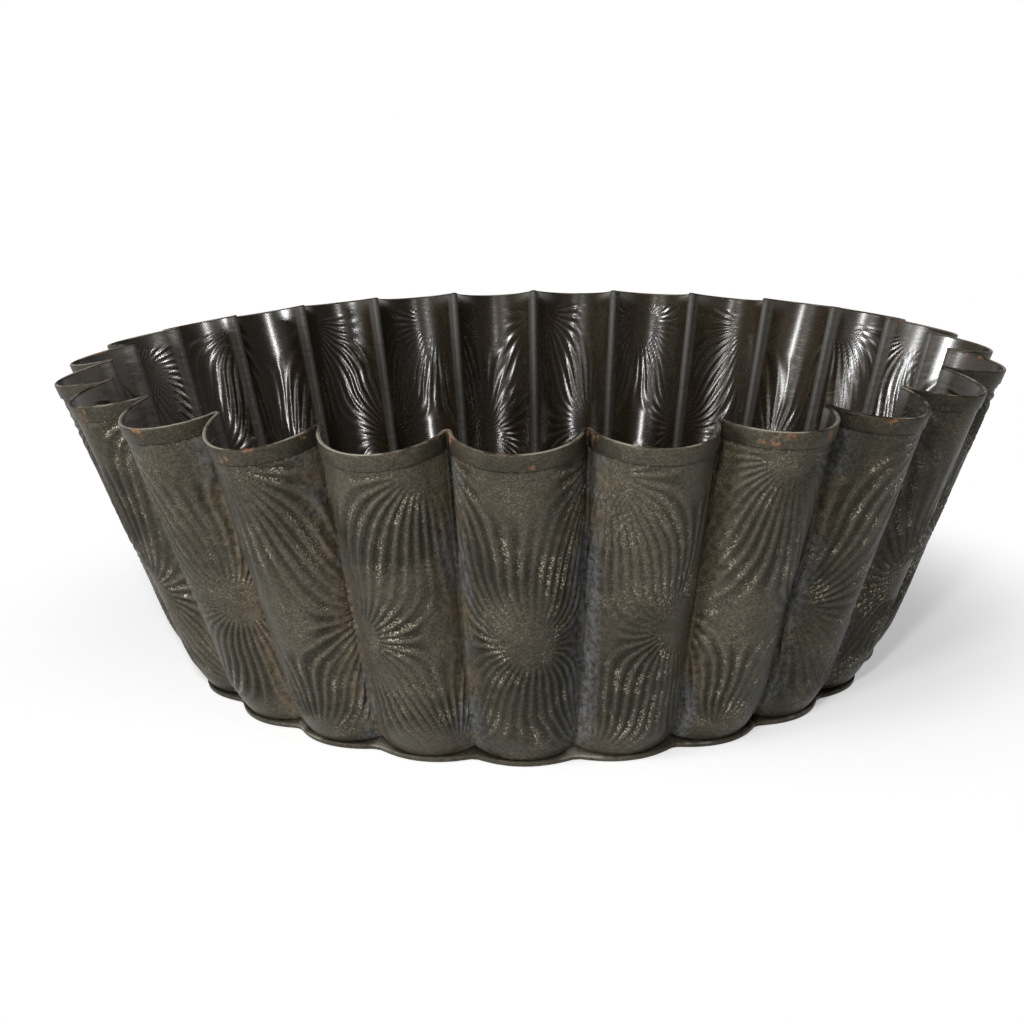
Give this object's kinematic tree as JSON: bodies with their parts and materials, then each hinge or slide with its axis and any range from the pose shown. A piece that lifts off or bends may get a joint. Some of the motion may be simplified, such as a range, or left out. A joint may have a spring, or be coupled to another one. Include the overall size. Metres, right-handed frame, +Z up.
{
  "type": "fluted brioche mould",
  "caption": "Round flared baking mould of thin tinned sheet: deep fluted side wall with folded-in creases, plain hemmed rim and a flat base folded onto the wall's foot",
  "frame": {"origin": "centre of the underside of the base plate, on the surface that the mould stands on", "axes": "+Z is up, out of the mouth, along the axis that the flutes repeat round; -Y points out of the middle of the front flute; +X is to the right seen from the front"},
  "size_m": [0.2396, 0.2391, 0.078],
  "materials": {
    "pressed_tin": "aged tinned steel, pressed with reeds, satin and darkened",
    "hem_tin": "aged tinned steel, plain, worn bright along its top edge",
    "base_tin": "aged tinned steel, plain, darkened by baking",
    "seam_tin": "aged tinned steel, plain lap"
  },
  "bodies": {
    "root": {"pleated_wall": "pressed_tin", "rim_hem": "hem_tin", "base_plate": "base_tin", "side_seam": "seam_tin"}
  },
  "joints": []
}
